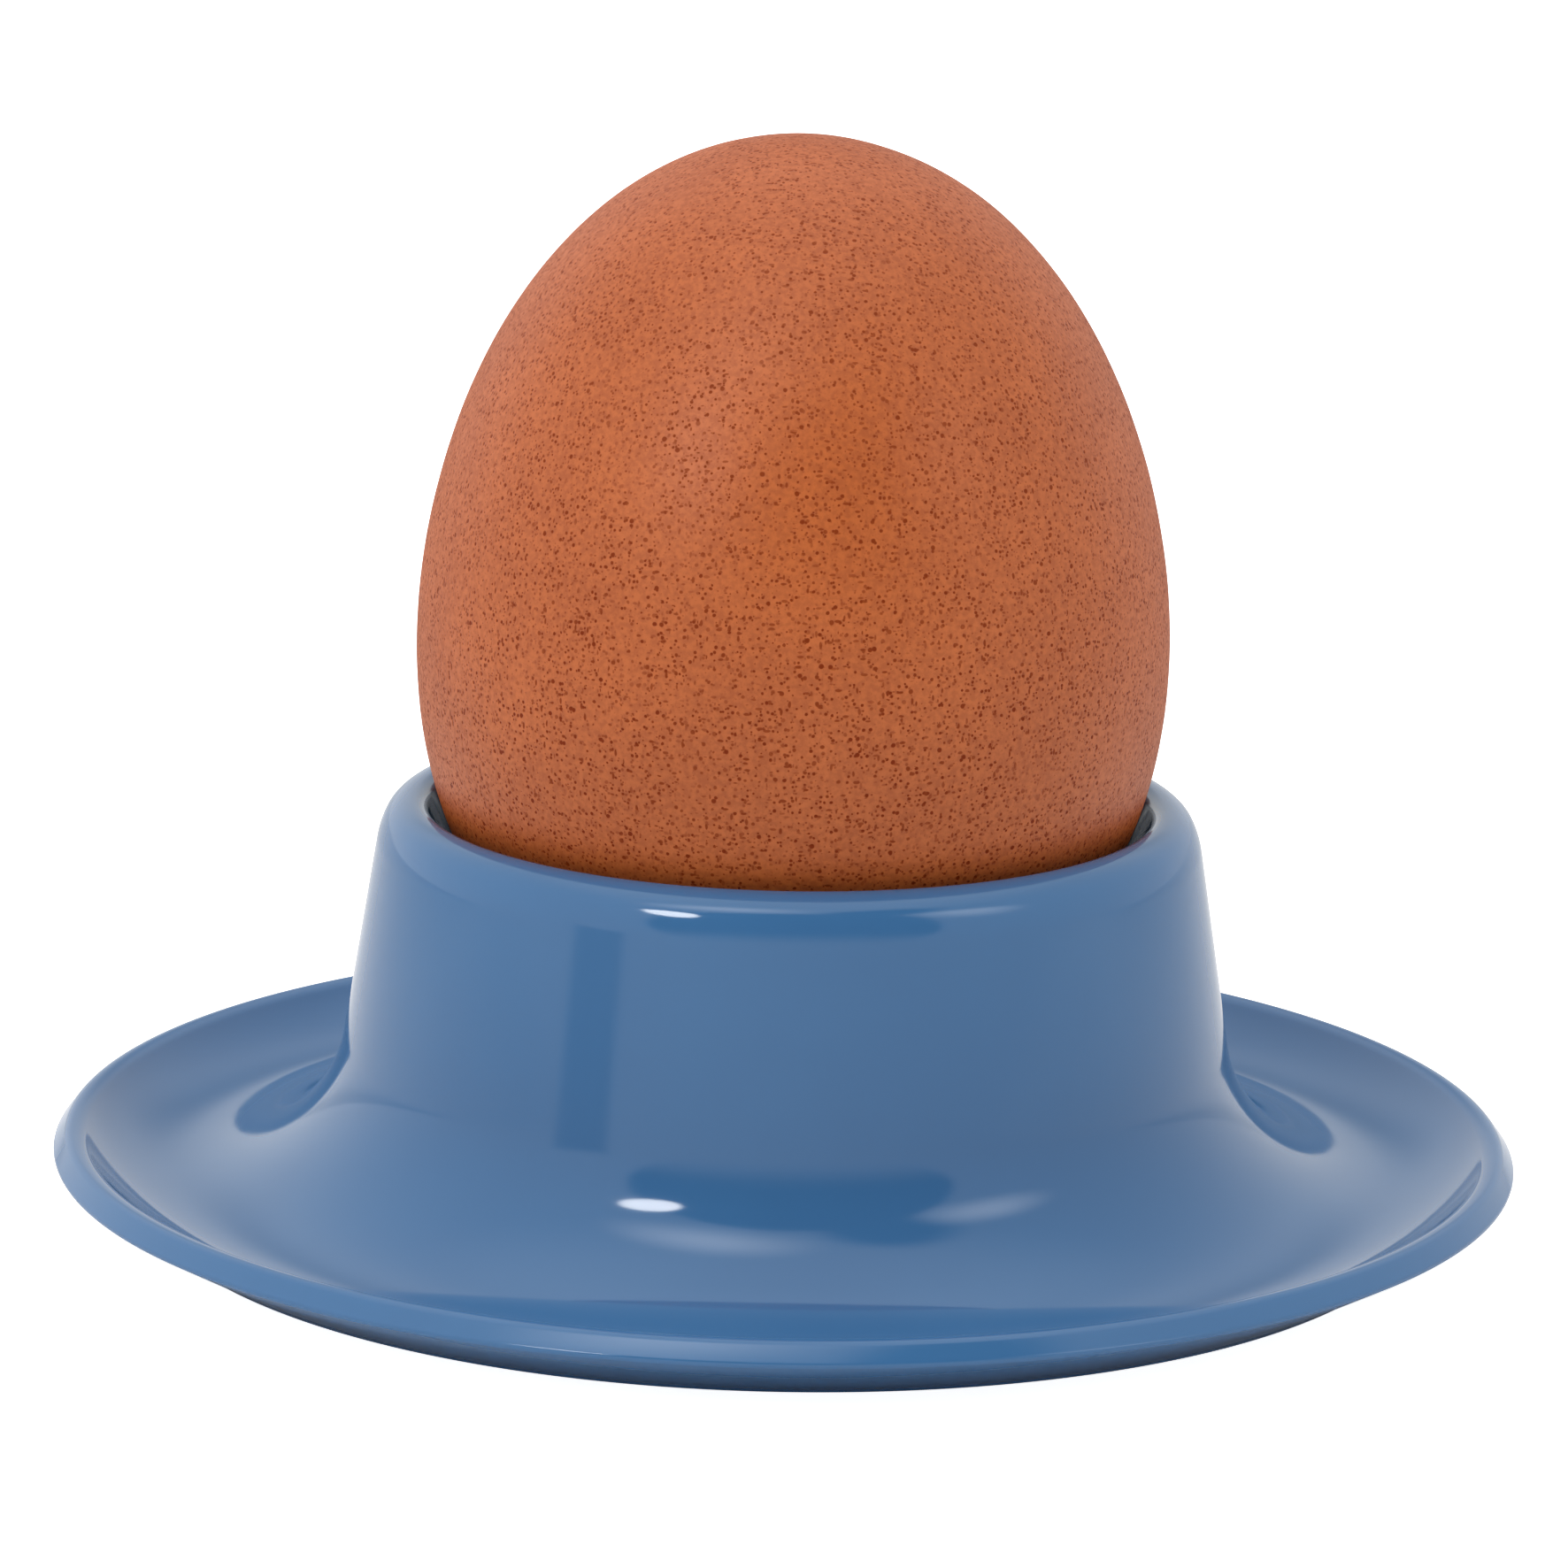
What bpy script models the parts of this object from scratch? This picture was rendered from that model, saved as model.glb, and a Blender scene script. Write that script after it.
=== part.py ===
"""A boiled egg standing in an egg cup that is one moulding with its saucer.

Both pieces are turned about the upright axis. Sizes are in metres, +Z is up, and the foot ring of
the saucer stands on z = 0.
"""
import math

import bpy
from mathutils import Matrix

# How finely the pieces are turned.
CUP_SEGMENTS = 72
EGG_SEGMENTS = 60
EGG_RINGS = 28

# Saucer.
SAUCER_RADIUS = 0.0439
RIM_HEIGHT = 0.00446
RIM_INSET = 0.00112
RIM_INNER_ROUNDING = 0.0012
RIM_OUTER_ROUNDING = 0.0006
EDGE_HEIGHT = 0.0033
EDGE_ROUNDING = 0.00025
FLOOR_HEIGHT = 0.00172
FOOT_RADIUS = 0.0386
FOOT_WIDTH = 0.0036
UNDERCUT_START = 0.0002
RECESS_DEPTH = 0.0005

# Cup.
CUP_HEIGHT = 0.0245
LIP_INNER_RADIUS = 0.0215
LIP_INNER_ROUNDING = 0.00095
LIP_TOP_ROUNDING = 0.0019
SHOULDER_RADIUS = 0.0053
SHOULDER_TOP_DEG = 27.0
WALL_FLARE_DEG = 9.1
FILLET_RADIUS = 0.00985
WELL_DEPTH = 0.01520

# Egg.
EGG_LENGTH = 0.0546
EGG_RADIUS = 0.02225
EGG_TAPER = -0.102
EGG_FULLNESS = 0.066
SEAT_GAP = 0.0005

# Colours.
GLAZE_BLUE = (0.085, 0.170, 0.290, 1.0)
SHELL_BROWN = (0.510, 0.150, 0.050, 1.0)


def arc(centre, radius, start_deg, end_deg, count):
    """Points of a circular arc in the (radius, height) half plane, both ends included."""
    points = []
    for step in range(count + 1):
        angle = math.radians(start_deg + (end_deg - start_deg) * step / count)
        points.append((centre[0] + radius * math.cos(angle), centre[1] + radius * math.sin(angle)))
    return points


def well_arc():
    """Radius of the round bowl and how far it turns, in degrees, before it meets the lip's rounding."""
    crest = LIP_INNER_RADIUS + LIP_INNER_ROUNDING
    rise = WELL_DEPTH - LIP_INNER_ROUNDING
    bowl = (crest ** 2 + rise ** 2 - LIP_INNER_ROUNDING ** 2) / (2.0 * WELL_DEPTH)
    return bowl, math.degrees(math.atan2(crest, bowl - rise))


def well_profile():
    """The round bowl that holds the egg, from its lowest point out to the lip."""
    bowl, turned = well_arc()
    middle = (0.0, CUP_HEIGHT - WELL_DEPTH + bowl)
    return arc(middle, bowl, -90.0, -90.0 + turned, 9)


def shoulder_centre():
    """Centre of the large rounding that joins the rounded lip to the flared wall."""
    turn_rad = math.radians(SHOULDER_TOP_DEG)
    reach = SHOULDER_RADIUS - LIP_TOP_ROUNDING
    crest = LIP_INNER_RADIUS + LIP_INNER_ROUNDING
    across = crest - reach * math.cos(turn_rad)
    return across, CUP_HEIGHT - LIP_TOP_ROUNDING - reach * math.sin(turn_rad)


def lip_profile():
    """The lip: a small inner rounding, a rounded top and a large soft shoulder outside."""
    crest = LIP_INNER_RADIUS + LIP_INNER_ROUNDING
    inner_centre = (crest, CUP_HEIGHT - LIP_INNER_ROUNDING)
    top_centre = (crest, CUP_HEIGHT - LIP_TOP_ROUNDING)
    inner = arc(inner_centre, LIP_INNER_ROUNDING, 90.0 + well_arc()[1], 90.0, 3)
    top = arc(top_centre, LIP_TOP_ROUNDING, 90.0, SHOULDER_TOP_DEG, 4)
    shoulder = arc(shoulder_centre(), SHOULDER_RADIUS, SHOULDER_TOP_DEG, WALL_FLARE_DEG, 3)
    return inner[1:] + top[1:] + shoulder[1:]


def wall_radius(height):
    """Radius of the flared outer wall of the cup at one height."""
    flare = math.radians(WALL_FLARE_DEG)
    across, up = shoulder_centre()
    across += SHOULDER_RADIUS * math.cos(flare)
    up += SHOULDER_RADIUS * math.sin(flare)
    return across + (up - height) * math.tan(flare)


def fillet_profile():
    """The sweep from the wall of the cup out on to the floor of the saucer."""
    flare = math.radians(WALL_FLARE_DEG)
    touch_height = FLOOR_HEIGHT + FILLET_RADIUS * (1.0 - math.sin(flare))
    centre_r = wall_radius(touch_height) + FILLET_RADIUS * math.cos(flare)
    centre = (centre_r, FLOOR_HEIGHT + FILLET_RADIUS)
    return arc(centre, FILLET_RADIUS, 180.0 + WALL_FLARE_DEG, 270.0, 9)


def bevel_angle():
    """Direction faced by the bevel between the top of the rim and its outer edge, in degrees."""
    across = RIM_INSET - EDGE_ROUNDING
    drop = EDGE_HEIGHT - (RIM_HEIGHT - RIM_OUTER_ROUNDING)
    share = (RIM_OUTER_ROUNDING - EDGE_ROUNDING) / math.hypot(across, drop)
    return math.degrees(math.acos(share) + math.atan2(drop, across))


def rim_profile(start_deg):
    """The rim of the saucer: a rounded top, a bevel and a crisp outer edge.

    Args:
        start_deg: angle at which the rounding of the rim begins on its inside.
    """
    crest_r = SAUCER_RADIUS - RIM_INSET
    bevel = bevel_angle()
    inner = arc((crest_r, RIM_HEIGHT - RIM_INNER_ROUNDING), RIM_INNER_ROUNDING, start_deg, 90.0, 2)
    outer = arc((crest_r, RIM_HEIGHT - RIM_OUTER_ROUNDING), RIM_OUTER_ROUNDING, 90.0, bevel, 3)
    edge = arc((SAUCER_RADIUS - EDGE_ROUNDING, EDGE_HEIGHT), EDGE_ROUNDING, bevel, -55.0, 2)
    edge[1] = (SAUCER_RADIUS, EDGE_HEIGHT)
    return inner[1:] + outer[1:] + edge


def dish_profile(start_r):
    """The hollow floor of the saucer rising into its rim.

    Args:
        start_r: radius where the floor leaves the fillet.
    """
    run = SAUCER_RADIUS - RIM_INSET - start_r
    middle = RIM_HEIGHT - RIM_INNER_ROUNDING
    drop = FLOOR_HEIGHT - middle
    hollow = (run ** 2 + drop ** 2 - RIM_INNER_ROUNDING ** 2) / (2.0 * (RIM_INNER_ROUNDING - drop))
    lean = math.degrees(math.atan2(run, FLOOR_HEIGHT + hollow - middle))
    floor = arc((start_r, FLOOR_HEIGHT + hollow), hollow, -90.0, -90.0 + lean, 5)
    return floor[1:] + rim_profile(90.0 + lean)


def underside_profile():
    """The sloping underside, the foot ring and the shallow recess inside it."""
    recess_r = FOOT_RADIUS - FOOT_WIDTH
    return [
        (FOOT_RADIUS, UNDERCUT_START),
        (FOOT_RADIUS - UNDERCUT_START, 0.0),
        (recess_r, 0.0),
        (recess_r - 0.6 * RECESS_DEPTH, RECESS_DEPTH),
        (0.0, RECESS_DEPTH),
    ]


def cup_profile():
    """The whole section of the cup, from the bottom of the well round to under its middle."""
    fillet = fillet_profile()
    dish = dish_profile(fillet[-1][0])
    return well_profile() + lip_profile() + fillet + dish + underside_profile()


def egg_section(angle):
    """Point of the egg's section, angle 0 at its upper tip and pi at its blunt lower end."""
    swell = 1.0 + EGG_TAPER * math.cos(angle) + EGG_FULLNESS * math.cos(angle) ** 2
    return EGG_RADIUS * math.sin(angle) * swell, 0.5 * EGG_LENGTH * math.cos(angle)


def egg_profile():
    """The egg's section about its own middle, from the tip down to the blunt lower end."""
    angles = [math.pi * step / EGG_RINGS for step in range(EGG_RINGS + 1)]
    points = [egg_section(angle) for angle in angles]
    return [(0.0, points[0][1])] + points[1:-1] + [(0.0, points[-1][1])]


def turn(name, profile, segments, material):
    """Turn a section that starts and ends on the axis into one closed, smooth-shaded object.

    Args:
        name: name of the object and of its mesh.
        profile: (radius, height) points from the upper end on the axis, outwards and down.
        segments: number of steps round the axis.
        material: material put on every face.
    """
    rings = profile[1:-1]
    verts = [(0.0, 0.0, profile[0][1]), (0.0, 0.0, profile[-1][1])]
    for radius, height in rings:
        for step in range(segments):
            angle = 2.0 * math.pi * step / segments
            verts.append((radius * math.cos(angle), radius * math.sin(angle), height))
    faces = []
    last = 2 + (len(rings) - 1) * segments
    for step in range(segments):
        after = (step + 1) % segments
        faces.append((0, 2 + step, 2 + after))
        faces.append((1, last + after, last + step))
        for ring in range(len(rings) - 1):
            low = 2 + ring * segments
            high = low + segments
            faces.append((low + step, high + step, high + after, low + after))
    mesh = bpy.data.meshes.new(name)
    mesh.from_pydata(verts, [], faces)
    mesh.materials.append(material)
    mesh.polygons.foreach_set("use_smooth", [True] * len(mesh.polygons))
    mesh.update()
    made = bpy.data.objects.new(name, mesh)
    bpy.context.scene.collection.objects.link(made)
    return made


def finish(name, colour, roughness):
    """A Principled material of one colour."""
    material = bpy.data.materials.new(name)
    material.use_nodes = True
    shader = material.node_tree.nodes["Principled BSDF"]
    shader.inputs["Base Color"].default_value = colour
    shader.inputs["Roughness"].default_value = roughness
    return material


def build_cup():
    """The cup and its saucer, one moulding."""
    return turn("egg_cup", cup_profile(), CUP_SEGMENTS, finish("cup_glaze", GLAZE_BLUE, 0.15))


def build_egg():
    """The egg, standing in the well on its blunt end."""
    egg = turn("egg", egg_profile(), EGG_SEGMENTS, finish("eggshell", SHELL_BROWN, 0.45))
    lift = CUP_HEIGHT - WELL_DEPTH + SEAT_GAP + 0.5 * EGG_LENGTH
    egg.data.transform(Matrix.Translation((0.0, 0.0, lift)))
    return egg


def main():
    """Clear the scene and build both pieces."""
    for old in list(bpy.data.objects):
        bpy.data.objects.remove(old, do_unlink=True)
    build_cup()
    build_egg()


main()
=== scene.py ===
"""A boiled egg standing in a glossy egg cup that is one moulding with its saucer.

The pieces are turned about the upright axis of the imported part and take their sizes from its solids.
All lengths are in metres and +Z is up.
"""

import logging
import math
from dataclasses import dataclass
from enum import Enum

import bpy
import numpy as np
from mathutils import Matrix, Quaternion, Vector


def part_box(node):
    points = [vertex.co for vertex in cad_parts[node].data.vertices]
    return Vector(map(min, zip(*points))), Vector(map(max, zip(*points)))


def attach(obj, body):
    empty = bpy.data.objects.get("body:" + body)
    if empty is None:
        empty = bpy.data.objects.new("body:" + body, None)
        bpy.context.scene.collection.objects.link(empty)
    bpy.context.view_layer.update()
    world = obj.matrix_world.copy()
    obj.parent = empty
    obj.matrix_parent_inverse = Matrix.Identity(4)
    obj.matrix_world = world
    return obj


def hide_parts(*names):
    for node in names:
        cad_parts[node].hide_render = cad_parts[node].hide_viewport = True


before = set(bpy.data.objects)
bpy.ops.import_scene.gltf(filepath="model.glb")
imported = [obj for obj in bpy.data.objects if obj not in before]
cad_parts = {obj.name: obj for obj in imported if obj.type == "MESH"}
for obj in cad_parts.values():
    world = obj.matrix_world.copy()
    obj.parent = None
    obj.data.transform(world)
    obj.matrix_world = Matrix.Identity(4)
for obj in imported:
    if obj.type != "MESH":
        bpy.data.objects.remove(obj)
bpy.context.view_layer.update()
LOG = logging.getLogger("egg_cup")

Colour = tuple[float, float, float, float]
Point = tuple[float, float]
Section = list[Point]
Band = tuple[float, float]
Node = bpy.types.Node
Socket = bpy.types.NodeSocket

WHITE: Colour = (1.0, 1.0, 1.0, 1.0)
SURFACE_IOR = 1.5
AIM_SHARE = 0.4
SQUARE_CORNERS: tuple[Point, ...] = ((-1.0, -1.0), (1.0, -1.0), (1.0, 1.0), (-1.0, 1.0))

# The stretch of a noise, which runs from 0 to 1, that a finish spreads out to its full effect.
WIDE_BAND: Band = (0.3, 0.7)
CLOSE_BAND: Band = (0.35, 0.65)


def arc(centre: Point, radius: float, start: float, end: float, count: int) -> Section:
    """Points of a circular arc in the (radius, height) half plane.

    Args:
        centre: centre of the arc.
        radius: radius of the arc.
        start: first angle in degrees, 0 outwards and 90 up.
        end: last angle in degrees.
        count: number of steps.

    Returns:
        The points, both ends included.
    """
    angles = np.radians(np.linspace(start, end, count + 1))
    across = centre[0] + radius * np.cos(angles)
    up = centre[1] + radius * np.sin(angles)
    return list(zip(across.tolist(), up.tolist()))


def along(first: Point, last: Point, share: float) -> Point:
    """The point that lies a share of the way from one point to another."""
    return first[0] + (last[0] - first[0]) * share, first[1] + (last[1] - first[1]) * share


def turned_mesh(name: str, section: Section, segments: int) -> bpy.types.Mesh:
    """A closed smooth mesh turned about the upright axis.

    Args:
        name: name of the mesh.
        section: points from the upper end on the axis, outwards and down to the lower end.
        segments: number of steps round the axis.

    Returns:
        The mesh, with every face shaded smooth.
    """
    rings = np.array(section[1:-1])
    turn = np.arange(segments) * 2.0 * math.pi / segments
    across = rings[:, :1]
    x_all = (across * np.cos(turn)).ravel()
    y_all = (across * np.sin(turn)).ravel()
    z_all = np.repeat(rings[:, 1], segments)
    ends = [(0.0, 0.0, section[0][1]), (0.0, 0.0, section[-1][1])]
    verts = ends + list(zip(x_all.tolist(), y_all.tolist(), z_all.tolist()))
    faces = []
    last = 2 + (len(rings) - 1) * segments
    for step in range(segments):
        after = (step + 1) % segments
        faces.append((0, 2 + step, 2 + after))
        faces.append((1, last + after, last + step))
        for low in range(2, last, segments):
            high = low + segments
            faces.append((low + step, high + step, high + after, low + after))
    mesh = bpy.data.meshes.new(name)
    mesh.from_pydata(verts, [], faces)
    mesh.polygons.foreach_set("use_smooth", [True] * len(mesh.polygons))
    mesh.update()
    return mesh


@dataclass(frozen=True)
class Noise:
    """How fine and how rough a soft noise is."""

    scale: float
    detail: float = 2.0
    roughness: float = 0.5


class Graph:
    """A small helper that adds and joins the nodes of one material or world."""

    def __init__(self, owner: bpy.types.Material | bpy.types.World) -> None:
        """Open the nodes of a new material or world.

        Args:
            owner: the material or world that takes the nodes.
        """
        owner.use_nodes = True
        self.nodes = owner.node_tree.nodes
        self.links = owner.node_tree.links

    def add(self, kind: str, inputs: dict[str, object] | None = None, **settings: object) -> Node:
        """Add a node.

        Args:
            kind: node type without its ShaderNode prefix.
            inputs: socket name or number to a value or to another node's output socket.
            **settings: attributes of the node itself.

        Returns:
            The new node.
        """
        node = self.nodes.new("ShaderNode" + kind)
        for key, value in settings.items():
            setattr(node, key, value)
        for key, value in (inputs or {}).items():
            socket = node.inputs[int(key)] if key.isdigit() else node.inputs[key]
            self.feed(socket, value)
        return node

    def feed(self, socket: Socket, value: object) -> None:
        """Link a socket to an output, or set it to a constant.

        Args:
            socket: the input that is fed.
            value: another node's output socket, or a constant.
        """
        if isinstance(value, Socket):
            self.links.new(value, socket)
        else:
            socket.default_value = value

    def surface(self) -> Socket:
        """The point of the surface in the object's own coordinates."""
        return self.add("TexCoord").outputs["Object"]

    def maths(self, operation: str, first: object, second: object = 0.0) -> Socket:
        """The output of a Math node on two values or sockets."""
        return self.add("Math", {"0": first, "1": second}, operation=operation).outputs[0]

    def cloud(self, where: Socket, noise: Noise) -> Node:
        """A Noise node, which gives a grey and a coloured noise."""
        settings = {"Scale": noise.scale, "Detail": noise.detail, "Roughness": noise.roughness}
        return self.add("TexNoise", {"Vector": where} | settings)

    def grey(self, where: Socket, noise: Noise) -> Socket:
        """The grey output of a Noise node."""
        return self.cloud(where, noise).outputs["Fac"]

    def between(self, value: object, band: Band, start: float, end: float) -> Socket:
        """A value mapped smoothly from a band on to another range and held at its ends.

        Args:
            value: the value or socket that is mapped.
            band: where the change begins and where it is complete.
            start: the result below the band.
            end: the result above the band.

        Returns:
            The mapped value.
        """
        ranges = {"From Min": band[0], "From Max": band[1], "To Min": start, "To Max": end}
        node = self.add("MapRange", {"Value": value} | ranges, interpolation_type="SMOOTHSTEP")
        return node.outputs["Result"]

    def blend(self, share: object, first: object, second: object) -> Socket:
        """Two colours mixed by a share, from 0 for the first to 1 for the second."""
        return self.add("Mix", {"0": share, "6": first, "7": second}, data_type="RGBA").outputs[2]

    def bump(self, height: Socket, distance: float) -> Socket:
        """The normal of a surface pressed in or raised by a height."""
        node = self.add("Bump", {"Height": height, "Distance": distance, "Strength": 1.0})
        return node.outputs["Normal"]


def begin(name: str) -> tuple[bpy.types.Material, Graph, Node]:
    """Start a material.

    Args:
        name: name of the material.

    Returns:
        The material, its nodes and its Principled shader.
    """
    material = bpy.data.materials.new(name)
    graph = Graph(material)
    return material, graph, graph.nodes["Principled BSDF"]


@dataclass(frozen=True)
class GlazeFinish:
    """The smooth high-gloss blue of the cup and saucer."""

    name: str = "denim_blue_glaze"
    colour: Colour = (0.043, 0.140, 0.305, 1.0)
    deeper: Colour = (0.041, 0.134, 0.295, 1.0)
    clouds: Noise = Noise(60.0, 3.0)
    roughness: float = 0.07
    smoothest: float = 0.85
    roughest: float = 1.2
    haze: Noise = Noise(240.0, 4.0, 0.6)
    swell: Noise = Noise(260.0, 1.0)
    ripple: float = 0.000004

    def build(self) -> bpy.types.Material:
        """Make the material.

        Returns:
            The finished glaze.
        """
        material, graph, shader = begin(self.name)
        where = graph.surface()
        share = graph.between(graph.grey(where, self.clouds), CLOSE_BAND, 0.0, 1.0)
        graph.feed(shader.inputs["Base Color"], graph.blend(share, self.colour, self.deeper))
        haze = graph.grey(where, self.haze)
        smooth, rough = self.roughness * self.smoothest, self.roughness * self.roughest
        graph.feed(shader.inputs["Roughness"], graph.between(haze, WIDE_BAND, smooth, rough))
        shader.inputs["IOR"].default_value = SURFACE_IOR
        swell = graph.grey(where, self.swell)
        graph.feed(shader.inputs["Normal"], graph.bump(swell, self.ripple))
        return material


@dataclass(frozen=True)
class SpeckleLayer:
    """One family of speckles on the shell.

    Sizes are in metres, the turn is in radians, and the soft edge is in parts of a speckle's size.
    """

    spacing: float
    radius: float
    share: float
    strength: float
    stretch: tuple[float, float, float] = (1.0, 1.0, 1.0)
    turn: tuple[float, float, float] = (0.0, 0.0, 0.0)
    smallest: float = 0.5
    soft_edge: Band = (-0.10, 0.30)
    faintest: float = 0.50
    faint_band: Band = (0.0, 0.8)

    def mask(self, graph: Graph, where: Socket) -> Socket:
        """Grey mask of this family, up to its full strength inside a speckle.

        Args:
            graph: the material that takes the nodes.
            where: coordinates of the shell in metres.

        Returns:
            The mask.
        """
        mapping = graph.add("Mapping", {"Vector": where, "Rotation": self.turn, "Scale": self.stretch})
        cells = graph.add(
            "TexVoronoi",
            {"Vector": mapping.outputs["Vector"], "Scale": 1.0 / self.spacing, "Randomness": 1.0},
            voronoi_dimensions="3D",
            feature="F1",
        )
        parts = graph.add("SeparateColor", {"Color": cells.outputs["Color"]})
        size = self.radius / self.spacing
        kept = graph.maths("LESS_THAN", parts.outputs["Red"], self.share)
        reach = graph.between(parts.outputs["Blue"], (0.0, 1.0), self.smallest * size, size)
        reach = graph.maths("MULTIPLY", reach, kept)
        inside = graph.maths("SUBTRACT", reach, cells.outputs["Distance"])
        rim = (self.soft_edge[0] * size, self.soft_edge[1] * size)
        edge = graph.between(inside, rim, 0.0, self.strength)
        depth = graph.between(parts.outputs["Green"], self.faint_band, self.faintest, 1.0)
        return graph.maths("MULTIPLY", edge, depth)


@dataclass(frozen=True)
class EggshellFinish:
    """Satin brown eggshell with fine darker speckles and pores."""

    name: str = "speckled_eggshell"
    pale: Colour = (0.505, 0.122, 0.0262, 1.0)
    warm: Colour = (0.365, 0.078, 0.0145, 1.0)
    speck: Colour = (0.190, 0.023, 0.002, 1.0)
    clouds: Noise = Noise(130.0, 3.0, 0.55)
    cloud_share: float = 0.32
    grain: Noise = Noise(2800.0, 3.0, 0.6)
    grain_share: float = 0.68
    roughness: float = 0.42
    smoothest: float = 0.92
    roughest: float = 1.08
    gloss: float = 0.36
    edge_gloss: float = 0.05
    edge_band: Band = (0.45, 0.95)
    speck_gloss: float = 0.25
    grain_relief: float = 0.6
    pit_depth: float = 0.000014
    bends: Noise = Noise(2600.0)
    wander: float = 0.00010
    patches: Noise = Noise(240.0, 3.0, 0.6)
    patch_band: Band = (0.30, 0.50)
    patch_faintest: float = 0.58
    # How faint the speckles get towards the top of the egg, and over which heights: a painted sheen that
    # lightens the upper shell.
    painted_sheen_faintest: float = 0.80
    painted_sheen_band: Band = (0.030, 0.062)
    layers: tuple[SpeckleLayer, ...] = (
        SpeckleLayer(0.00030, 0.00012, 1.00, 1.00),
        SpeckleLayer(0.00050, 0.00016, 0.85, 1.00),
        SpeckleLayer(0.00039, 0.00010, 0.85, 0.85, (1.0, 1.0, 0.42), (0.5, 0.3, 0.0)),
        SpeckleLayer(0.00041, 0.00010, 0.85, 0.85, (0.42, 1.0, 1.0), (0.2, 0.6, 0.9)),
        SpeckleLayer(0.00043, 0.00010, 0.85, 0.80, (0.42, 1.0, 1.0), (0.4, 2.1, 0.3)),
    )

    def bent(self, graph: Graph, where: Socket) -> Socket:
        """The coordinates of the shell pushed about a little, so that no speckle is a plain oval.

        Args:
            graph: the material that takes the nodes.
            where: coordinates of the shell in metres.

        Returns:
            The bent coordinates.
        """
        noise = graph.cloud(where, self.bends).outputs["Color"]
        centred = graph.add("VectorMath", {"0": noise, "1": (0.5, 0.5, 0.5)}, operation="SUBTRACT")
        shift = {"0": centred.outputs[0], "Scale": self.wander}
        shifted = graph.add("VectorMath", shift, operation="SCALE")
        return graph.add("VectorMath", {"0": where, "1": shifted.outputs[0]}, operation="ADD").outputs[0]

    def speckles(self, graph: Graph, where: Socket) -> Socket:
        """Grey mask of all the speckles, gathered in patches and faded towards the top of the egg, where
        the fading is a painted sheen.

        Args:
            graph: the material that takes the nodes.
            where: coordinates of the shell in metres.

        Returns:
            The mask.
        """
        bent = self.bent(graph, where)
        mask = self.layers[0].mask(graph, bent)
        for layer in self.layers[1:]:
            mask = graph.maths("MAXIMUM", mask, layer.mask(graph, bent))
        gathered = graph.grey(where, self.patches)
        patches = graph.between(gathered, self.patch_band, self.patch_faintest, 1.0)
        # Painted sheen: the speckles are faded towards the top, so the upper shell looks lighter, as if
        # lit from above.
        height = graph.add("SeparateXYZ", {"Vector": where}).outputs["Z"]
        painted_sheen_fade = graph.between(height, self.painted_sheen_band, 1.0, self.painted_sheen_faintest)
        return graph.maths("MULTIPLY", graph.maths("MULTIPLY", mask, patches), painted_sheen_fade)

    def build(self) -> bpy.types.Material:
        """Make the material.

        Returns:
            The finished eggshell.
        """
        material, graph, shader = begin(self.name)
        where = graph.surface()
        specks = self.speckles(graph, where)
        clouds = graph.grey(where, self.clouds)
        grain = graph.grey(where, self.grain)
        cloudy = graph.between(clouds, WIDE_BAND, 0.0, self.cloud_share)
        tone = graph.maths("ADD", cloudy, graph.between(grain, CLOSE_BAND, 0.0, self.grain_share))
        shell = graph.blend(tone, self.pale, self.warm)
        graph.feed(shader.inputs["Base Color"], graph.blend(specks, shell, self.speck))
        smooth, rough = self.roughness * self.smoothest, self.roughness * self.roughest
        graph.feed(shader.inputs["Roughness"], graph.between(grain, WIDE_BAND, smooth, rough))
        shader.inputs["IOR"].default_value = SURFACE_IOR
        facing = graph.add("LayerWeight", {"Blend": 0.5}).outputs["Facing"]
        sheen = graph.between(facing, self.edge_band, self.gloss, self.edge_gloss)
        dull = graph.between(specks, (0.0, 1.0), 1.0, self.speck_gloss)
        graph.feed(shader.inputs["Specular IOR Level"], graph.maths("MULTIPLY", sheen, dull))
        pits = graph.maths("SUBTRACT", graph.maths("MULTIPLY", grain, self.grain_relief), specks)
        graph.feed(shader.inputs["Normal"], graph.bump(pits, self.pit_depth))
        return material


@dataclass(frozen=True)
class MattFinish:
    """A plain even surface for the floor, with a little glow of its own."""

    name: str
    colour: Colour
    glow: float = 0.0
    roughness: float = 0.9
    patches: Noise = Noise(3.0)
    patch_share: float = 0.995
    dimmest: float = 0.99

    def build(self) -> bpy.types.Material:
        """Make the material.

        Returns:
            The finished surface.
        """
        material, graph, shader = begin(self.name)
        where = graph.surface()
        shade = graph.between(graph.grey(where, self.patches), WIDE_BAND, self.patch_share, 1.0)
        dim = tuple(self.dimmest * part for part in self.colour[:3]) + (1.0,)
        graph.feed(shader.inputs["Base Color"], graph.blend(shade, dim, self.colour))
        shader.inputs["Roughness"].default_value = self.roughness
        shader.inputs["Specular IOR Level"].default_value = 0.0
        shader.inputs["Emission Color"].default_value = WHITE
        shader.inputs["Emission Strength"].default_value = self.glow
        return material


@dataclass(frozen=True)
class FloorLightFinish:
    """The light a white floor gives back: dimmer behind the object than in front of it."""

    name: str = "floor_light"
    front: Colour = (0.90, 0.90, 0.90, 1.0)
    behind: Colour = (0.66, 0.66, 0.66, 1.0)
    depth_band: Band = (0.02, 0.14)
    roughness: float = 0.9

    def build(self) -> bpy.types.Material:
        """Make the material.

        Returns:
            The finished surface.
        """
        material, graph, shader = begin(self.name)
        depth = graph.add("SeparateXYZ", {"Vector": graph.surface()}).outputs["Y"]
        share = graph.between(depth, self.depth_band, 0.0, 1.0)
        graph.feed(shader.inputs["Base Color"], graph.blend(share, self.front, self.behind))
        shader.inputs["Roughness"].default_value = self.roughness
        shader.inputs["Specular IOR Level"].default_value = 0.0
        return material


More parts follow.
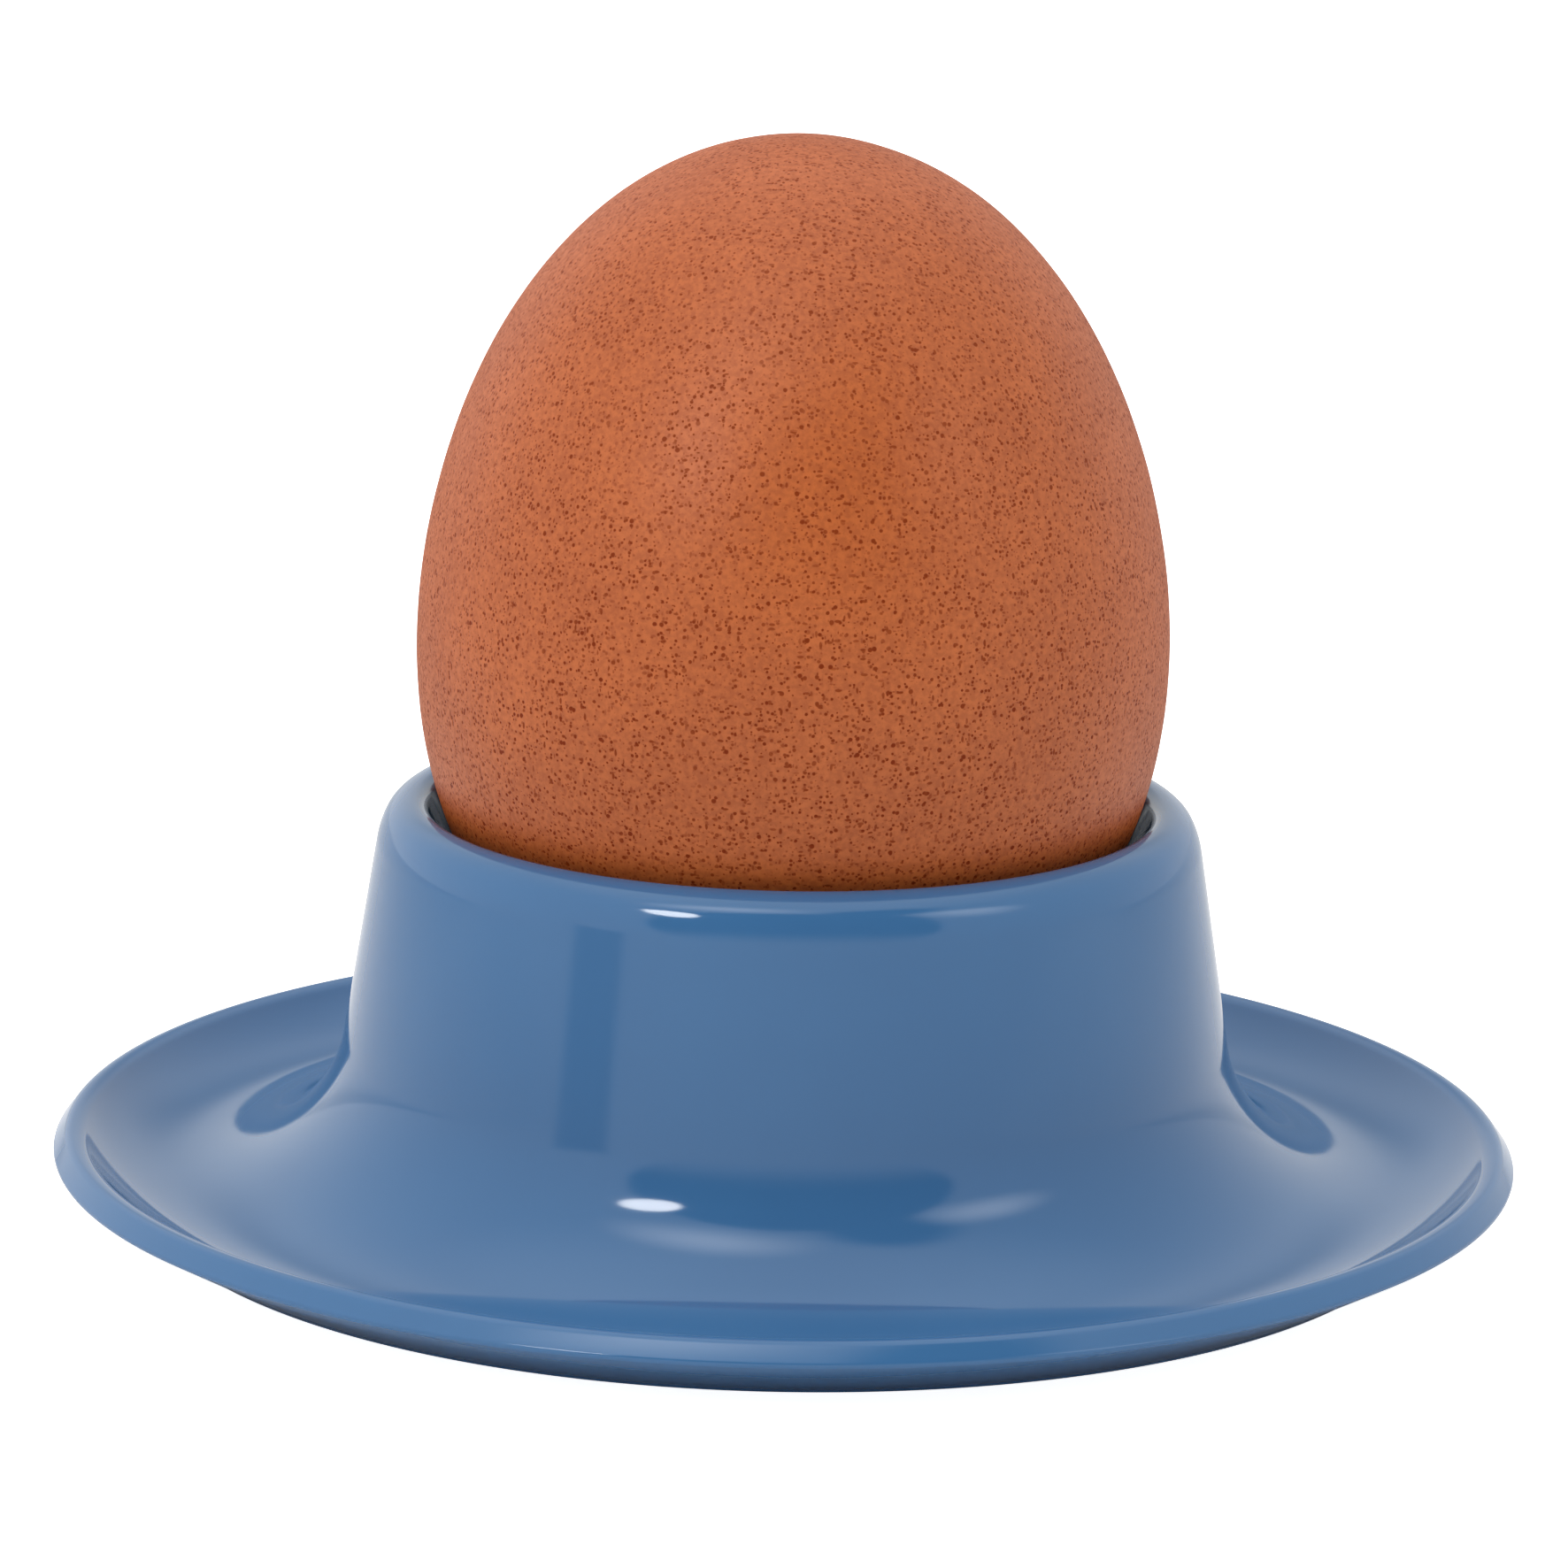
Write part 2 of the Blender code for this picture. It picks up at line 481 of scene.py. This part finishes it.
def place(name: str, mesh: bpy.types.Mesh, material: bpy.types.Material) -> bpy.types.Object:
    """Put a mesh into the scene with one material.

    Args:
        name: name of the object.
        mesh: its mesh.
        material: the material of every face.

    Returns:
        The new object.
    """
    mesh.materials.append(material)
    made = bpy.data.objects.new(name, mesh)
    bpy.context.scene.collection.objects.link(made)
    return made


@dataclass
class EggCup:
    """The flared cup and its saucer, one moulding.

    Its section is made of arcs that run into each other. The angles are in degrees, 0 outwards and
    90 up. The steps are the numbers of pieces that the arcs are cut into.
    """

    outer_radius: float
    height: float
    lip_inner_radius: float = 0.0215
    lip_inner_rounding: float = 0.00095
    lip_top_rounding: float = 0.0019
    shoulder_radius: float = 0.0053
    shoulder_top: float = 27.0
    wall_flare: float = 9.1
    fillet_radius: float = 0.00985
    floor_height: float = 0.00172
    rim_height: float = 0.00446
    rim_inset: float = 0.00112
    rim_inner_rounding: float = 0.0012
    rim_outer_rounding: float = 0.0006
    edge_height: float = 0.0033
    edge_rounding: float = 0.00025
    edge_end: float = -55.0
    underside_shares: tuple[float, ...] = (0.5, 0.97, 1.0)
    foot_radius: float = 0.0386
    foot_width: float = 0.0036
    foot_rounding: float = 0.0002
    recess_depth: float = 0.0005
    recess_slope: float = 0.6
    well_depth: float = 0.0152
    crease: float = 38.0
    sweep_steps: int = 40
    floor_steps: int = 24
    shoulder_steps: int = 16
    wall_steps: int = 12
    rim_steps: int = 12
    edge_steps: int = 10
    segments: int = 360
    name: str = "cup_and_saucer"
    node: str = "egg_cup"
    slot: str = "cup_glaze"

    @classmethod
    def from_frame(cls) -> "EggCup":
        """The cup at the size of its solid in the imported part."""
        low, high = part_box("egg_cup")
        return cls(outer_radius=0.5 * (high.x - low.x), height=high.z)

    @property
    def lip_crest(self) -> float:
        """Radius at the top of the lip."""
        return self.lip_inner_radius + self.lip_inner_rounding

    @property
    def rim_crest(self) -> float:
        """Radius at the top of the saucer's rim."""
        return self.outer_radius - self.rim_inset

    def well_arc(self) -> tuple[float, float]:
        """Find the round bowl that runs smoothly into the lip's inner rounding.

        Returns:
            The radius of the bowl, and how far its arc turns from the lowest point, in degrees.
        """
        rise = self.well_depth - self.lip_inner_rounding
        bowl = (self.lip_crest**2 + rise**2 - self.lip_inner_rounding**2) / (2.0 * self.well_depth)
        return bowl, math.degrees(math.atan2(self.lip_crest, bowl - rise))

    def well(self) -> Section:
        """The round bowl that holds the egg.

        Returns:
            Points from its lowest point out to the lip, both ends included.
        """
        bowl, turned = self.well_arc()
        middle = (0.0, self.height - self.well_depth + bowl)
        return arc(middle, bowl, -90.0, -90.0 + turned, self.sweep_steps)

    def shoulder_centre(self) -> Point:
        """Find the centre of the large rounding between the lip and the flared wall.

        Returns:
            The centre, in the (radius, height) half plane.
        """
        lean = math.radians(self.shoulder_top)
        reach = self.shoulder_radius - self.lip_top_rounding
        across = self.lip_crest - reach * math.cos(lean)
        return across, self.height - self.lip_top_rounding - reach * math.sin(lean)

    def lip(self) -> Section:
        """The lip: a small inner rounding, a rounded top and a large soft shoulder outside.

        Returns:
            Points from the well over to the top of the flared wall, without the first.
        """
        steps = self.edge_steps
        start = 90.0 + self.well_arc()[1]
        inner_centre = (self.lip_crest, self.height - self.lip_inner_rounding)
        top_centre = (self.lip_crest, self.height - self.lip_top_rounding)
        inner = arc(inner_centre, self.lip_inner_rounding, start, 90.0, steps)
        top = arc(top_centre, self.lip_top_rounding, 90.0, self.shoulder_top, steps)
        turns = (self.shoulder_top, self.wall_flare)
        shoulder = arc(self.shoulder_centre(), self.shoulder_radius, *turns, self.shoulder_steps)
        return inner[1:] + top[1:] + shoulder[1:]

    def wall_radius(self, height: float) -> float:
        """Find the radius of the flared outer wall at one height.

        Args:
            height: height above the floor the cup stands on.

        Returns:
            The radius.
        """
        flare = math.radians(self.wall_flare)
        across, up = self.shoulder_centre()
        across += self.shoulder_radius * math.cos(flare)
        up += self.shoulder_radius * math.sin(flare)
        return across + (up - height) * math.tan(flare)

    def fillet(self) -> Section:
        """The sweep from the wall out on to the floor of the saucer.

        Returns:
            Points from the foot of the wall to the floor, both ends included.
        """
        flare = math.radians(self.wall_flare)
        touch = self.floor_height + self.fillet_radius * (1.0 - math.sin(flare))
        across = self.wall_radius(touch) + self.fillet_radius * math.cos(flare)
        centre = (across, self.floor_height + self.fillet_radius)
        return arc(centre, self.fillet_radius, 180.0 + self.wall_flare, 270.0, self.sweep_steps)

    def wall(self, top: Point, bottom: Point) -> Section:
        """Points down the straight wall between two ends, without the ends."""
        return [along(top, bottom, step / self.wall_steps) for step in range(1, self.wall_steps)]

    def bevel_angle(self) -> float:
        """Find the way the bevel between the top of the rim and its outer edge faces.

        Returns:
            The direction, in degrees.
        """
        across = self.rim_inset - self.edge_rounding
        drop = self.edge_height - (self.rim_height - self.rim_outer_rounding)
        share = (self.rim_outer_rounding - self.edge_rounding) / math.hypot(across, drop)
        return math.degrees(math.acos(share) + math.atan2(drop, across))

    def rim(self, start: float) -> Section:
        """The rim of the saucer: a rounded top, a bevel and a crisp outer edge.

        Args:
            start: angle at which the rounding of the rim begins on its inside, in degrees.

        Returns:
            Points from the inside of the rim over to the underside, without the first.
        """
        bevel = self.bevel_angle()
        inner_centre = (self.rim_crest, self.rim_height - self.rim_inner_rounding)
        outer_centre = (self.rim_crest, self.rim_height - self.rim_outer_rounding)
        edge_centre = (self.outer_radius - self.edge_rounding, self.edge_height)
        inner = arc(inner_centre, self.rim_inner_rounding, start, 90.0, self.rim_steps)
        outer = arc(outer_centre, self.rim_outer_rounding, 90.0, bevel, self.rim_steps)
        edge = arc(edge_centre, self.edge_rounding, bevel, self.edge_end, self.edge_steps)
        return inner[1:] + outer[1:] + edge

    def dish(self, start: float) -> Section:
        """The hollow floor of the saucer rising into its rim.

        Args:
            start: radius where the floor leaves the fillet.

        Returns:
            Points from the fillet out to the underside of the edge, without the first.
        """
        rounding = self.rim_inner_rounding
        run = self.rim_crest - start
        middle = self.rim_height - rounding
        drop = self.floor_height - middle
        hollow = (run**2 + drop**2 - rounding**2) / (2.0 * (rounding - drop))
        lean = math.degrees(math.atan2(run, self.floor_height + hollow - middle))
        floor = arc((start, self.floor_height + hollow), hollow, -90.0, -90.0 + lean, self.floor_steps)
        return floor[1:] + self.rim(90.0 + lean)

    def underside(self, edge: Point) -> Section:
        """The sloping underside, the foot ring and the recess inside it.

        Args:
            edge: where the saucer's edge ends.

        Returns:
            Points from below the edge in to the axis.
        """
        inner = self.foot_radius - self.foot_width
        foot = (self.foot_radius, self.foot_rounding)
        slope = [along(edge, foot, share) for share in self.underside_shares]
        ring = [(self.foot_radius - self.foot_rounding, 0.0), (inner, 0.0)]
        recess = [(inner - self.recess_slope * self.recess_depth, self.recess_depth)]
        return slope + ring + recess + [(0.0, self.recess_depth)]

    def section(self) -> Section:
        """The whole section of the cup.

        Returns:
            Points from the bottom of the well round to under its middle.
        """
        lip = self.lip()
        fillet = self.fillet()
        dish = self.dish(fillet[-1][0])
        wall = self.wall(lip[-1], fillet[0])
        return self.well() + lip + wall + fillet + dish + self.underside(dish[-1])

    def build(self, finish: GlazeFinish) -> bpy.types.Object:
        """Make the cup and put it in the place of its solid.

        Args:
            finish: the glaze it wears.

        Returns:
            The dressed cup, with the saucer's edge and the corners under it kept crisp.
        """
        made = place(self.name, turned_mesh(self.name, self.section(), self.segments), finish.build())
        made.data.set_sharp_from_angle(angle=math.radians(self.crease))
        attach(made, "root")
        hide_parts(self.node)
        return made


@dataclass
class BoiledEgg:
    """The egg, pointed end up, standing on its blunt end in the well."""

    bottom: float
    top: float
    outer_radius: float
    radius: float = 0.02225
    taper: float = -0.102
    fullness: float = 0.066
    relief: float = 0.00003
    pitches: tuple[float, ...] = (0.020, 0.013, 0.008, 0.005, 0.0035)
    pitch_power: float = 0.8
    waves_each: int = 4
    seed: int = 7
    rings: int = 180
    segments: int = 240
    name: str = "boiled_egg"
    node: str = "egg"
    slot: str = "eggshell"

    @classmethod
    def from_frame(cls) -> "BoiledEgg":
        """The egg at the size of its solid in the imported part."""
        low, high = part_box("egg")
        return cls(bottom=low.z, top=high.z, outer_radius=0.5 * (high.x - low.x))

    @property
    def middle(self) -> float:
        """Height of the egg's middle."""
        return 0.5 * (self.top + self.bottom)

    def section(self) -> Section:
        """The egg's section.

        Returns:
            Points from the tip down to the blunt lower end.
        """
        angle = np.linspace(0.0, math.pi, self.rings + 1)
        swell = 1.0 + self.taper * np.cos(angle) + self.fullness * np.cos(angle) ** 2
        across = self.radius * np.sin(angle) * swell
        across *= self.outer_radius / across.max()
        across[0] = across[-1] = 0.0
        up = self.middle + 0.5 * (self.top - self.bottom) * np.cos(angle)
        return list(zip(across.tolist(), up.tolist()))

    def hollows(self, points: np.ndarray) -> np.ndarray:
        """Add up soft waves of several pitches that cross the egg in all directions.

        Args:
            points: points of the shell, one to a row.

        Returns:
            How far each point is pressed in, from -1 for the deepest to 0.
        """
        waves = np.zeros(len(points))
        source = np.random.default_rng(self.seed)
        for pitch in self.pitches:
            heading = source.normal(size=(self.waves_each, 3))
            heading /= np.linalg.norm(heading, axis=1)[:, None]
            phase = source.uniform(0.0, 2.0 * math.pi, self.waves_each)
            height = (pitch / self.pitches[0]) ** self.pitch_power
            waves += height * np.sin(points @ heading.T * 2.0 * math.pi / pitch + phase).sum(axis=1)
        return (waves - waves.max()) / (waves.max() - waves.min())

    def roughen(self, mesh: bpy.types.Mesh) -> None:
        """Press faint hollows into the shell so that it isn't a perfect turned shape.

        Args:
            mesh: the smooth egg.
        """
        points = np.zeros(len(mesh.vertices) * 3)
        mesh.vertices.foreach_get("co", points)
        points = points.reshape(-1, 3)
        middle = np.array([0.0, 0.0, self.middle])
        shrink = 1.0 + 2.0 * self.relief * self.hollows(points) / self.outer_radius
        points = middle + (points - middle) * shrink[:, None]
        mesh.vertices.foreach_set("co", points.ravel())
        mesh.update()

    def build(self, finish: EggshellFinish) -> bpy.types.Object:
        """Make the egg and put it in the place of its solid.

        Args:
            finish: the shell it wears.

        Returns:
            The dressed egg.
        """
        mesh = turned_mesh(self.name, self.section(), self.segments)
        self.roughen(mesh)
        made = place(self.name, mesh, finish.build())
        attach(made, "root")
        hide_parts(self.node)
        return made


class CardShape(Enum):
    """Outline of a card round the set."""

    ROUND = "round"
    SQUARE = "square"


def direction(azimuth: float, elevation: float) -> Vector:
    """Unit vector from the set towards a bearing.

    Args:
        azimuth: degrees from the front, positive towards +X.
        elevation: degrees above the floor.

    Returns:
        The direction.
    """
    turn, rise = math.radians(azimuth), math.radians(elevation)
    return Vector((math.sin(turn) * math.cos(rise), -math.cos(turn) * math.cos(rise), math.sin(rise)))


@dataclass
class StudioCard:
    """A flat card that faces the object and is seen only as light and in the gloss.

    The angles are in degrees. The foot band and the start of the soft edge are in parts of the
    card's half height and half width.
    """

    name: str
    azimuth: float
    elevation: float
    width: float
    height: float
    level: float
    shape: CardShape = CardShape.ROUND
    edge_start: float = 0.6
    distance: float = 0.55
    soft_foot: bool = False
    foot_band: Band = (-0.75, -0.05)
    roll: float = 0.0
    sides: int = 96

    def spread(self, graph: Graph) -> Socket:
        """How far out on the card a point lies.

        Args:
            graph: the material that takes the nodes.

        Returns:
            0 in the middle of the card and 1 at its rim.
        """
        where = graph.surface()
        if self.shape is CardShape.ROUND:
            return graph.add("VectorMath", {"0": where}, operation="LENGTH").outputs["Value"]
        parts = graph.add("SeparateXYZ", {"Vector": where})
        across = graph.maths("ABSOLUTE", parts.outputs["X"])
        return graph.maths("MAXIMUM", across, graph.maths("ABSOLUTE", parts.outputs["Y"]))

    def finish(self) -> bpy.types.Material:
        """The card's even light, fading into the surround towards its rim.

        Returns:
            The finished light.
        """
        material, graph, shader = begin(self.name)
        graph.nodes.remove(shader)
        light = graph.add("Emission", {"Color": WHITE, "Strength": self.level})
        clear = graph.add("BsdfTransparent", {"Color": WHITE})
        share = graph.between(self.spread(graph), (self.edge_start, 1.0), 1.0, 0.0)
        if self.soft_foot:
            up = graph.add("SeparateXYZ", {"Vector": graph.surface()}).outputs["Y"]
            share = graph.maths("MULTIPLY", share, graph.between(up, self.foot_band, 0.0, 1.0))
        mixed = graph.add("MixShader", {"0": share, "1": clear.outputs[0], "2": light.outputs[0]})
        graph.links.new(mixed.outputs[0], graph.nodes["Material Output"].inputs["Surface"])
        return material

    def outline(self) -> list[tuple[float, float, float]]:
        """The outline of a unit card, round or square.

        Returns:
            Its corners, from 1 to -1 each way.
        """
        if self.shape is CardShape.SQUARE:
            return [(across, up, 0.0) for across, up in SQUARE_CORNERS]
        turns = [2.0 * math.pi * step / self.sides for step in range(self.sides)]
        return [(math.cos(turn), math.sin(turn), 0.0) for turn in turns]

    def build(self, target: Vector) -> bpy.types.Object:
        """Make the card and turn it to face the object.

        Args:
            target: the point it faces.

        Returns:
            The card.
        """
        corners = self.outline()
        mesh = bpy.data.meshes.new(self.name)
        mesh.from_pydata(corners, [], [tuple(range(len(corners)))])
        card = place(self.name, mesh, self.finish())
        towards = direction(self.azimuth, self.elevation)
        card.rotation_mode = "QUATERNION"
        roll = Quaternion((0.0, 0.0, 1.0), math.radians(self.roll))
        card.rotation_quaternion = towards.to_track_quat("Z", "Y") @ roll
        card.location = target + towards * self.distance
        card.scale = (0.5 * self.width, 0.5 * self.height, 1.0)
        card.visible_camera = False
        return card


@dataclass(frozen=True)
class WhiteSurround:
    """The white surround: brighter overhead and on the left, and dim straight behind the object.

    Every band is in parts of the unit direction towards the surround: its rise, its reach to the
    side or its depth away from the front.
    """

    name: str = "white_surround"
    horizon: float = 1.08
    upper: float = 1.05
    upper_band: Band = (0.0, 0.40)
    overhead: float = 0.50
    overhead_band: Band = (0.70, 0.98)
    left_gain: float = 0.10
    side_band: Band = (-0.9, 0.9)
    back_fall: float = 0.48
    back_band: Band = (0.65, 0.95)
    narrow_side_band: Band = (0.04, 0.42)
    narrow_top_band: Band = (0.45, 0.80)
    narrow_foot_band: Band = (0.26, 0.42)
    narrow_foot_share: float = 0.18
    low_share: float = 0.10
    low_band: Band = (0.06, 0.16)
    broad_share: float = 0.20
    broad_band: Band = (0.35, 0.60)

    def level(self, graph: Graph, across: Socket, rise: Socket) -> Socket:
        """How bright the surround is before it is dimmed behind the object.

        Args:
            graph: the world that takes the nodes.
            across: reach of the direction to the right.
            rise: rise of the direction.

        Returns:
            The brightness.
        """
        level = graph.between(rise, self.upper_band, self.horizon, self.upper)
        overhead = graph.between(rise, self.overhead_band, 0.0, self.overhead)
        level = graph.maths("ADD", level, overhead)
        tilt = graph.between(across, self.side_band, self.left_gain, -self.left_gain)
        return graph.maths("ADD", level, tilt)

    def fall(self, graph: Graph, across: Socket, depth: Socket, rise: Socket) -> Socket:
        """How much brightness is taken away behind the object.

        Args:
            graph: the world that takes the nodes.
            across: reach of the direction to the right.
            depth: reach of the direction away from the front.
            rise: rise of the direction.

        Returns:
            The brightness taken away: a narrow upright patch, a low band and a broad veil.
        """
        side = graph.maths("ABSOLUTE", across)
        narrow = graph.between(side, self.narrow_side_band, 1.0, 0.0)
        narrow = graph.maths("MULTIPLY", narrow, graph.between(rise, self.narrow_top_band, 1.0, 0.0))
        foot = graph.between(rise, self.narrow_foot_band, self.narrow_foot_share, 1.0)
        narrow = graph.maths("MULTIPLY", narrow, foot)
        low = graph.between(rise, self.low_band, self.low_share, 0.0)
        broad = graph.between(rise, self.broad_band, self.broad_share, 0.0)
        dim = graph.maths("ADD", graph.maths("MAXIMUM", narrow, low), broad)
        return graph.maths("MULTIPLY", graph.between(depth, self.back_band, 0.0, self.back_fall), dim)

    def build(self) -> None:
        """Make the surround and let the scene use it."""
        world = bpy.data.worlds.new(self.name)
        graph = Graph(world)
        parts = graph.add("SeparateXYZ", {"Vector": graph.add("TexCoord").outputs["Generated"]})
        across, depth, rise = parts.outputs
        level = self.level(graph, across, rise)
        fall = self.fall(graph, across, depth, rise)
        back = graph.nodes["Background"]
        back.inputs["Color"].default_value = WHITE
        graph.feed(back.inputs["Strength"], graph.maths("SUBTRACT", level, fall))
        bpy.context.scene.world = world


@dataclass
class Studio:
    """The pale floor, the white surround and the cards."""

    target: Vector
    floor_size: float = 6.0
    floor_colour: Colour = (0.92, 0.92, 0.92, 1.0)
    floor_glow: float = 0.90
    bounce_drop: float = 0.0004

    def plane(self, name: str, height: float, material: bpy.types.Material) -> bpy.types.Object:
        """Make a large level square.

        Args:
            name: name of the object.
            height: height it lies at.
            material: the material of its face.

        Returns:
            The square.
        """
        half = 0.5 * self.floor_size
        corners = [(half * across, half * deep, height) for across, deep in SQUARE_CORNERS]
        mesh = bpy.data.meshes.new(name)
        mesh.from_pydata(corners, [], [(0, 1, 2, 3)])
        return place(name, mesh, material)

    def floor(self) -> list[bpy.types.Object]:
        """Make the plain pale floor that is seen, and the one just under it that gives its light back.

        Returns:
            Both floors.
        """
        white = MattFinish("floor_white", self.floor_colour, glow=self.floor_glow)
        seen = self.plane("floor", 0.0, white.build())
        seen.visible_diffuse = False
        seen.visible_glossy = False
        seen.visible_shadow = False
        bounce = self.plane("floor_bounce", -self.bounce_drop, FloorLightFinish().build())
        bounce.visible_camera = False
        return [seen, bounce]

    def cards(self) -> list[StudioCard]:
        """Choose the cards.

        Returns:
            The cards, each with its bearing, elevation, width, height and level first: three shades
            that the gloss shows as darker patches, and three lights.
        """
        square = CardShape.SQUARE
        front = {"edge_start": 0.86, "soft_foot": True}
        key = {"edge_start": 0.80, "distance": 0.45}
        top = {"edge_start": 0.0, "distance": 0.5, "roll": 20.0}
        right = {"edge_start": 0.05, "distance": 0.5, "roll": -22.0}
        return [
            StudioCard("front_shade", 2.0, 22.5, 0.94, 0.53, 0.08, **front),
            StudioCard("high_shade", 30.0, 45.0, 0.40, 0.27, 0.09, edge_start=0.40, roll=14.0),
            StudioCard("side_shade", -51.0, -3.0, 0.18, 0.18, 0.45, square, edge_start=0.50),
            StudioCard("key_light", -34.5, 31.8, 0.125, 0.062, 17.0, **key),
            StudioCard("top_light", -24.0, 54.0, 0.46, 0.22, 4.0, **top),
            StudioCard("right_light", 54.5, 32.0, 0.36, 0.16, 3.4, **right),
        ]

    def build(self) -> None:
        """Set up the surround, the floor and the cards, none of them part of the object."""
        WhiteSurround().build()
        for plane in self.floor():
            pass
        for card in self.cards():
            card.build(self.target)
            LOG.info("card %s", card.name)


@dataclass
class StillCamera:
    """The camera in front of the set, looking slightly down.

    The angles are in radians, and the lens and the sensor in millimetres.
    """

    name: str = "still_camera"
    distance: float = 0.4120
    height: float = 0.12289
    pitch: float = 0.23226
    yaw: float = -0.00095
    roll: float = 0.01873
    lens: float = 162.83235
    sensor: float = 36.0
    clip_start: float = 0.01
    clip_end: float = 20.0

    def axes(self) -> Matrix:
        """Find which way the camera is turned.

        Returns:
            The camera's right, up and backward directions as the columns of a matrix.
        """
        sin_p, cos_p = math.sin(self.pitch), math.cos(self.pitch)
        sin_y, cos_y = math.sin(self.yaw), math.cos(self.yaw)
        forward = Vector((sin_y * cos_p, cos_y * cos_p, -sin_p))
        right = Vector((cos_y, -sin_y, 0.0))
        up = right.cross(forward)
        turned_right = math.cos(self.roll) * right + math.sin(self.roll) * up
        turned_up = -math.sin(self.roll) * right + math.cos(self.roll) * up
        return Matrix((turned_right, turned_up, -forward)).transposed()

    def build(self) -> bpy.types.Object:
        """Make the camera and let the scene use it.

        Returns:
            The camera.
        """
        data = bpy.data.cameras.new(self.name)
        data.sensor_width = self.sensor
        data.lens = self.lens
        data.clip_start = self.clip_start
        data.clip_end = self.clip_end
        camera = bpy.data.objects.new(self.name, data)
        bpy.context.scene.collection.objects.link(camera)
        camera.matrix_world = Matrix.Translation((0.0, -self.distance, self.height)) @ self.axes().to_4x4()
        bpy.context.scene.camera = camera
        return camera


def main() -> None:
    """Build the cup, the egg, the studio and the camera."""
    logging.basicConfig(level=logging.INFO)
    cup = EggCup.from_frame()
    LOG.info("built %s", cup.build(GlazeFinish()).name)
    egg = BoiledEgg.from_frame()
    LOG.info("built %s", egg.build(EggshellFinish()).name)
    Studio(target=Vector((0.0, 0.0, AIM_SHARE * egg.top))).build()
    StillCamera().build()
    bpy.context.scene.view_settings.view_transform = "Standard"


if __name__ == "__main__":
    main()
